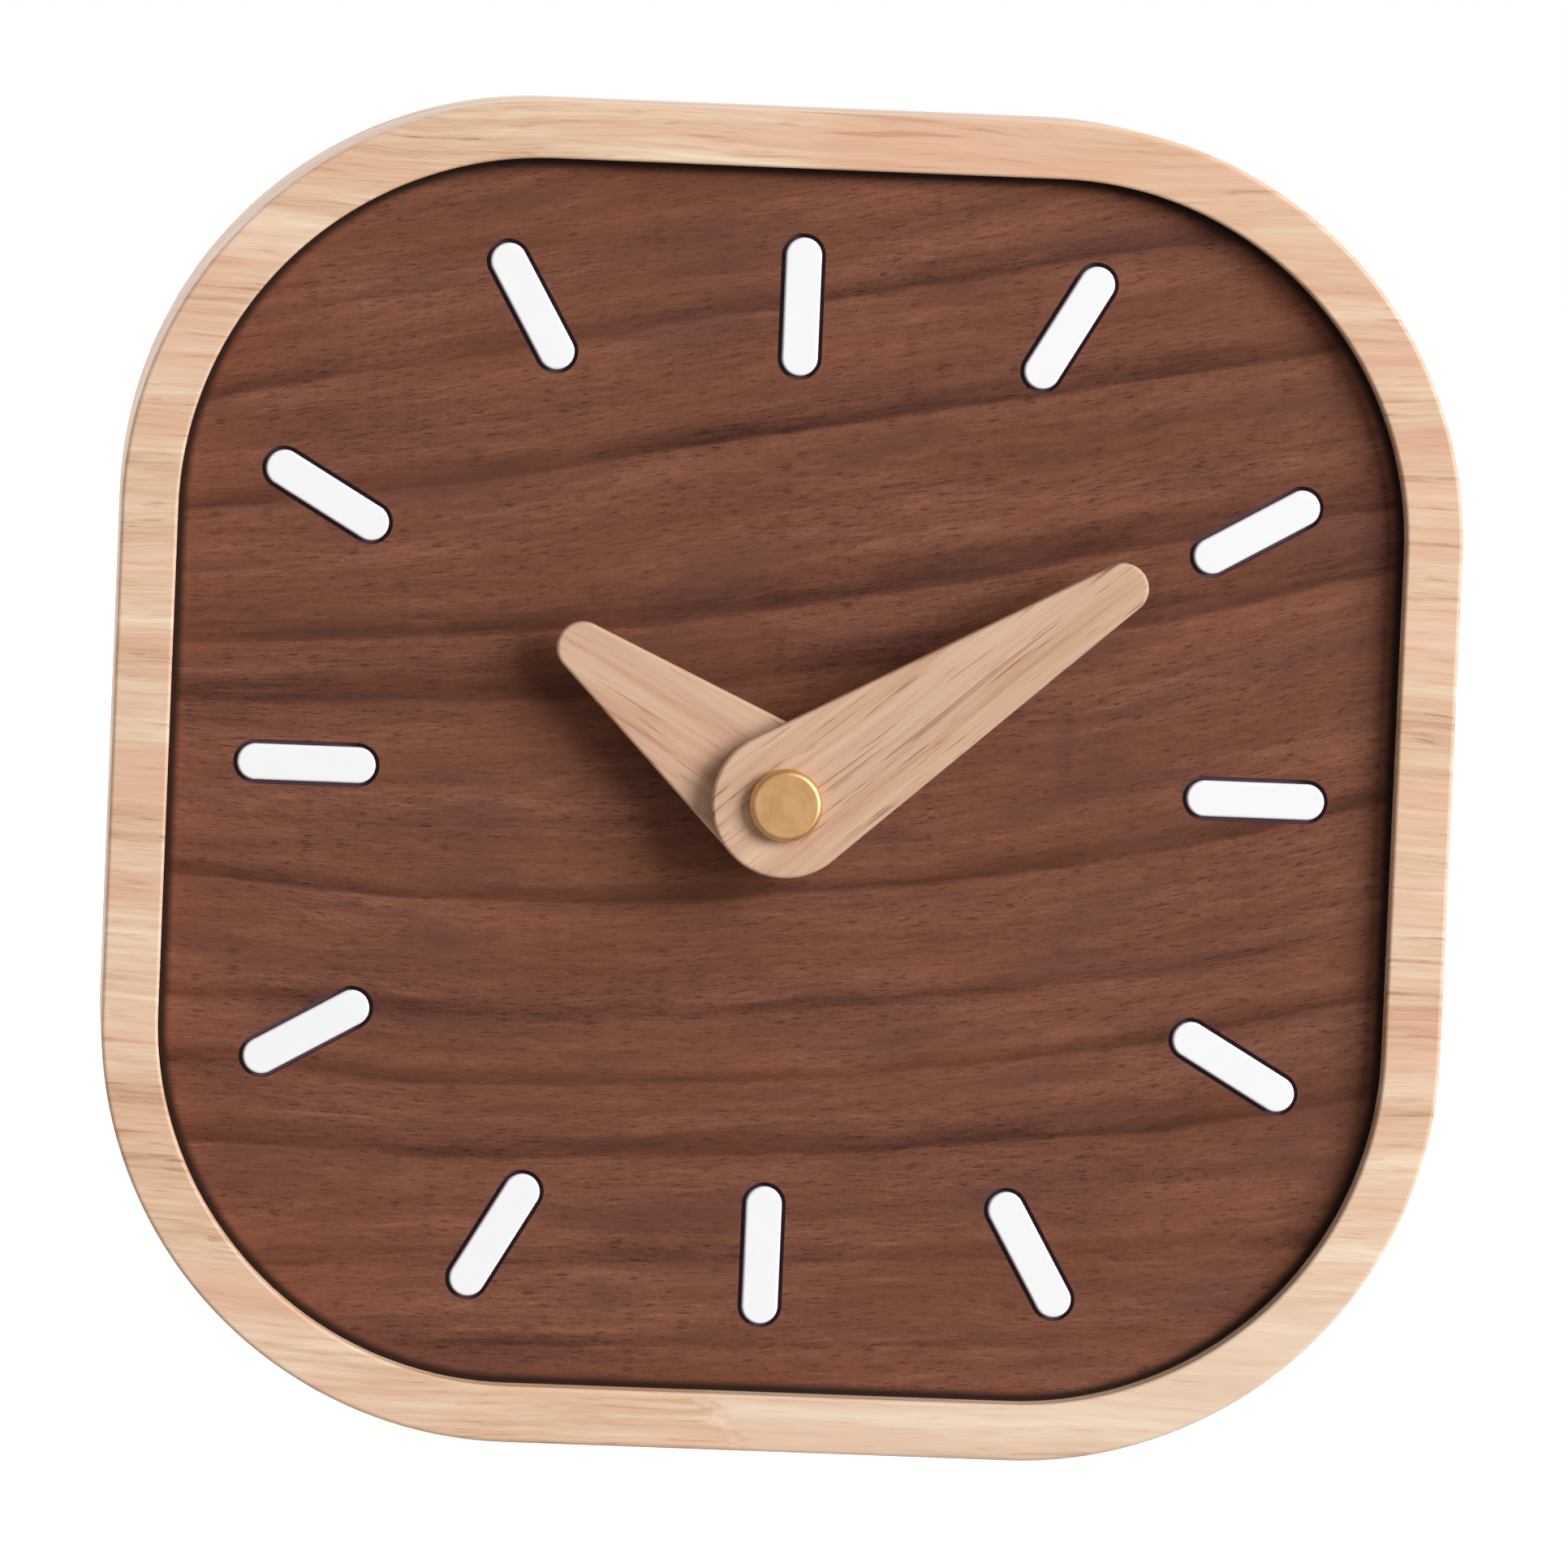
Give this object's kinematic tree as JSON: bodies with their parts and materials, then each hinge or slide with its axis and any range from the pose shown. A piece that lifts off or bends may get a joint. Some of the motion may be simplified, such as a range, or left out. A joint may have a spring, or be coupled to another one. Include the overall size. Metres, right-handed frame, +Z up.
{
  "type": "desk clock",
  "caption": "Square wooden desk clock with round corners, a recessed walnut dial, white inlaid hour marks, tapered wooden hands and a battery quartz movement behind.",
  "frame": {"origin": "on the surface that the clock stands on, under the middle of the whole clock from the face of the brass cap to the back of the case", "axes": "+X to the right as seen from the front, +Y to the back, +Z up; the dial faces -Y"},
  "size_m": [0.13, 0.0394, 0.13],
  "materials": {
    "pale_wood": "fine sanded, clear oil",
    "walnut": "sanded, matt oil",
    "hand_wood": "fine sanded",
    "white_inlay": "matt",
    "brass": "turned, satin",
    "rubber": "matt",
    "black_plastic": "fine spark texture",
    "white_plastic": "natural moulded",
    "cell_jacket": "printed film, plain",
    "plated_steel": "nickel plated",
    "magnet": "sintered",
    "soft_iron": "stamped",
    "copper_wire": "lacquered",
    "board": "solder mask",
    "resin": "moulded drop"
  },
  "bodies": {
    "case": {"case_ring": "pale_wood", "dial_panel": "walnut", "hour_marker_01": "white_inlay", "hour_marker_02": "white_inlay", "hour_marker_03": "white_inlay", "hour_marker_04": "white_inlay", "hour_marker_05": "white_inlay", "hour_marker_06": "white_inlay", "hour_marker_07": "white_inlay", "hour_marker_08": "white_inlay", "hour_marker_09": "white_inlay", "hour_marker_10": "white_inlay", "hour_marker_11": "white_inlay", "hour_marker_12": "white_inlay", "bushing": "brass", "bushing_washer": "brass", "bushing_nut": "brass", "gasket": "rubber", "movement_case": "black_plastic", "movement_cover": "black_plastic", "positive_contact": "plated_steel", "negative_contact": "plated_steel", "stator": "soft_iron", "coil_core": "soft_iron", "coil_bobbin": "white_plastic", "coil_winding": "copper_wire", "circuit_board": "board", "chip": "resin", "quartz_crystal": "plated_steel"},
    "minute_hand": {"minute_hand": "hand_wood", "minute_hand_bush": "brass", "hand_cap": "brass", "minute_arbor": "brass", "friction_spring": "plated_steel"},
    "hour_hand": {"hour_hand": "hand_wood", "hour_hand_bush": "brass", "hour_wheel": "white_plastic"},
    "minute_wheel": {"minute_wheel": "white_plastic"},
    "setting_knob": {"setting_knob": "black_plastic"},
    "rotor": {"rotor_pinion": "white_plastic", "rotor_magnet": "magnet"},
    "intermediate_wheel": {"intermediate_wheel": "white_plastic"},
    "seconds_wheel": {"seconds_wheel": "white_plastic"},
    "third_wheel": {"third_wheel": "white_plastic"},
    "centre_wheel": {"centre_wheel": "white_plastic"},
    "battery": {"battery_cell": "cell_jacket"}
  },
  "joints": [
    {"name": "minute_hand_turn", "type": "hinge", "parent": "case", "child": "minute_hand", "pos_m": [0, 0, 0.0633], "axis": [0, 1, 0], "continuous": true},
    {"name": "hour_hand_turn", "type": "hinge", "parent": "case", "child": "hour_hand", "pos_m": [0, 0, 0.0633], "axis": [0, 1, 0], "continuous": true},
    {"name": "minute_wheel_turn", "type": "hinge", "parent": "case", "child": "minute_wheel", "pos_m": [-0.0072, 0, 0.0633], "axis": [0, 1, 0], "continuous": true},
    {"name": "setting_knob_turn", "type": "hinge", "parent": "case", "child": "setting_knob", "pos_m": [-0.0144, 0, 0.0633], "axis": [0, 1, 0], "continuous": true},
    {"name": "rotor_turn", "type": "hinge", "parent": "case", "child": "rotor", "pos_m": [-0.00001, 0, 0.07808], "axis": [0, 1, 0], "continuous": true},
    {"name": "intermediate_wheel_turn", "type": "hinge", "parent": "case", "child": "intermediate_wheel", "pos_m": [-0.00414, 0, 0.07218], "axis": [0, 1, 0], "continuous": true},
    {"name": "seconds_wheel_turn", "type": "hinge", "parent": "case", "child": "seconds_wheel", "pos_m": [0, 0, 0.0633], "axis": [0, 1, 0], "continuous": true},
    {"name": "third_wheel_turn", "type": "hinge", "parent": "case", "child": "third_wheel", "pos_m": [0.0095, 0, 0.0633], "axis": [0, 1, 0], "continuous": true},
    {"name": "centre_wheel_turn", "type": "hinge", "parent": "case", "child": "centre_wheel", "pos_m": [0, 0, 0.0633], "axis": [0, 1, 0], "continuous": true},
    {"name": "battery_slide", "type": "slide", "parent": "case", "child": "battery", "axis": [0, 1, 0], "range_m": [0, 0.03]}
  ],
  "couplings": [
    {"joint": "hour_hand_turn", "follows": "minute_hand_turn", "ratio": 0.083333},
    {"joint": "minute_wheel_turn", "follows": "minute_hand_turn", "ratio": -0.33333},
    {"joint": "setting_knob_turn", "follows": "minute_hand_turn", "ratio": 1},
    {"joint": "intermediate_wheel_turn", "follows": "rotor_turn", "ratio": -0.2},
    {"joint": "seconds_wheel_turn", "follows": "rotor_turn", "ratio": 0.033333},
    {"joint": "third_wheel_turn", "follows": "rotor_turn", "ratio": -0.0044444},
    {"joint": "centre_wheel_turn", "follows": "rotor_turn", "ratio": 0.00055556}
  ]
}
